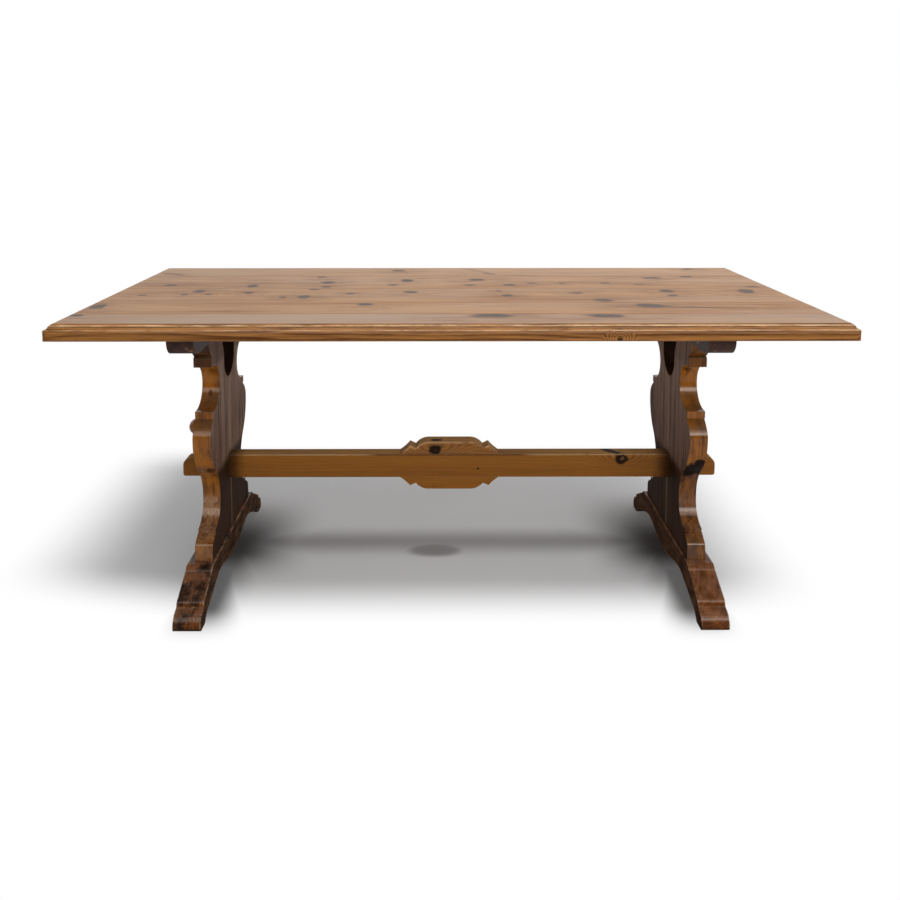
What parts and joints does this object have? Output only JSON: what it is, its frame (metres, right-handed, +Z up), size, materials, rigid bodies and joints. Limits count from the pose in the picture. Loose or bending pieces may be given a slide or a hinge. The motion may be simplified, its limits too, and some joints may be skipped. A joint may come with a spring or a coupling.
{
  "type": "farmhouse table",
  "caption": "Long pine farmhouse table with a moulded plank top on two scroll-sawn trestles joined by a stretcher with through tenons and a shaped crest.",
  "frame": {"origin": "on the floor under the middle of the table", "axes": "+X along the table to the right in the picture, +Y from the front edge to the back edge, +Z up"},
  "size_m": [1.8, 0.8, 0.755],
  "materials": {
    "top_pine": "satin, worn and faded, with grey knots",
    "trestle_pine": "waxed, glossy on the front edges and grey on the broad faces",
    "stave_pine": "waxed, paler than the boards",
    "foot_pine": "waxed, scuffed, with worn pale arrises",
    "stretcher_pine": "waxed, satin",
    "button_wood": "waxed, satin",
    "beech": "plain, hidden in the joints",
    "screw_steel": "dull"
  },
  "bodies": {
    "root": {"top_plank_1": "top_pine", "top_plank_2": "top_pine", "top_plank_3": "top_pine", "top_plank_4": "top_pine", "top_plank_5": "top_pine", "plank_tongue_1": "beech", "plank_tongue_2": "beech", "plank_tongue_3": "beech", "plank_tongue_4": "beech", "left_bearer": "trestle_pine", "left_board_front": "trestle_pine", "left_board_back": "trestle_pine", "left_lower_stave": "stave_pine", "left_upper_stave": "stave_pine", "left_foot": "foot_pine", "left_top_screws": "screw_steel", "left_bearer_dowels": "beech", "left_foot_dowels": "beech", "right_bearer": "trestle_pine", "right_board_front": "trestle_pine", "right_board_back": "trestle_pine", "right_lower_stave": "stave_pine", "right_upper_stave": "stave_pine", "right_foot": "foot_pine", "right_top_screws": "screw_steel", "right_bearer_dowels": "beech", "right_foot_dowels": "beech", "stretcher": "stretcher_pine", "upper_crest": "stretcher_pine", "lower_crest": "stretcher_pine", "crest_dowels": "beech", "wooden_button": "button_wood"}
  },
  "joints": []
}
